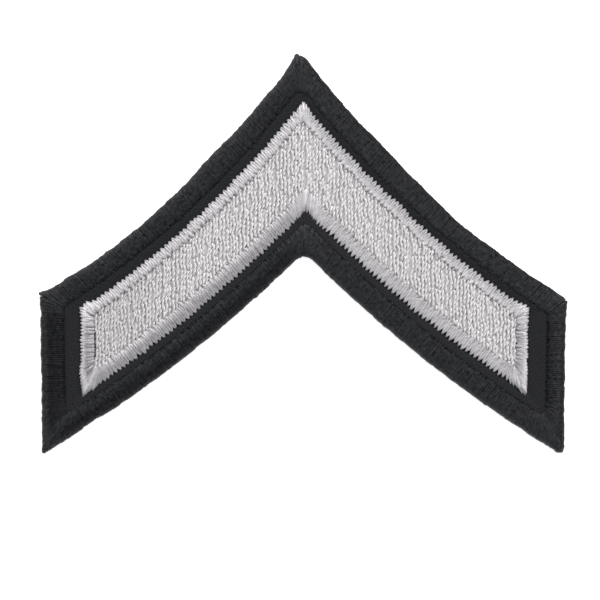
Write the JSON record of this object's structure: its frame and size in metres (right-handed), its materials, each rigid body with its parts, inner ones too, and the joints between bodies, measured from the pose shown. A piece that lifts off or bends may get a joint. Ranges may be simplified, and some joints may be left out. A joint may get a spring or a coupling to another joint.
{
  "type": "rank chevron patch",
  "caption": "Embroidered cloth rank chevron: black twill with a satin-stitched edge and a silver-grey pointed bar, sewn or bonded flat to a sleeve or collar.",
  "frame": {"origin": "on the back, in the plane that it lies on, under the middle of its width and height", "axes": "+Z out of the embroidered face, +Y towards the chevron's point, +X to the right seen from the face"},
  "size_m": [0.076, 0.0576, 0.0017],
  "materials": {
    "twill_cloth": "matt black polyester twill",
    "black_thread": "soft-sheened black embroidery thread in satin stitch",
    "silver_thread": "lustrous silver-grey embroidery thread"
  },
  "bodies": {
    "root": {"ground_cloth": "twill_cloth", "edge_border": "black_thread", "chevron_outline": "silver_thread", "chevron_fill": "silver_thread"}
  },
  "joints": []
}
